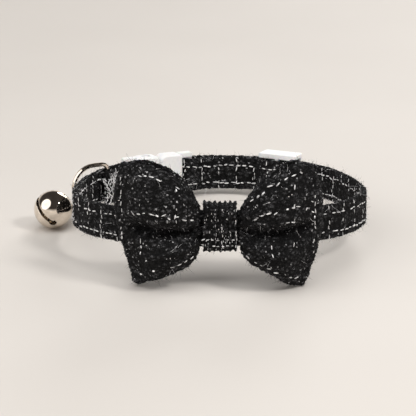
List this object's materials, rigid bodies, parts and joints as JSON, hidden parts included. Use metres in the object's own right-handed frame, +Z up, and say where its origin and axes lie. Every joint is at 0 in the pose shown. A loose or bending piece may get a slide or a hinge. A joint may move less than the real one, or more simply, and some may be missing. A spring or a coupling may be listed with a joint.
{
  "type": "pet bow tie collar",
  "caption": "Adjustable tweed pet collar in a closed loop, with a bow tie on a keeper, a release buckle, a slider and a round bell on a D ring.",
  "frame": {"origin": "middle of the collar's footprint, on the surface that it lies on", "axes": "+Z up, +Y from the bow to the back of the loop, +X to the right seen from in front of the bow"},
  "size_m": [0.1022, 0.0914, 0.0374],
  "materials": {
    "tweed": "black boucle tweed with silver thread in a check",
    "elastic": "plain black ribbed elastic",
    "white_plastic": "satin white moulding",
    "nickel": "polished nickel plate"
  },
  "bodies": {
    "root": {"strap": "tweed", "bow": "tweed", "bow_knot": "tweed", "bow_keeper": "elastic", "buckle_plug": "white_plastic", "buckle_socket": "white_plastic", "slider": "white_plastic", "d_ring": "nickel", "link_ring": "nickel", "bell": "nickel", "bell_ball": "nickel"}
  },
  "joints": []
}
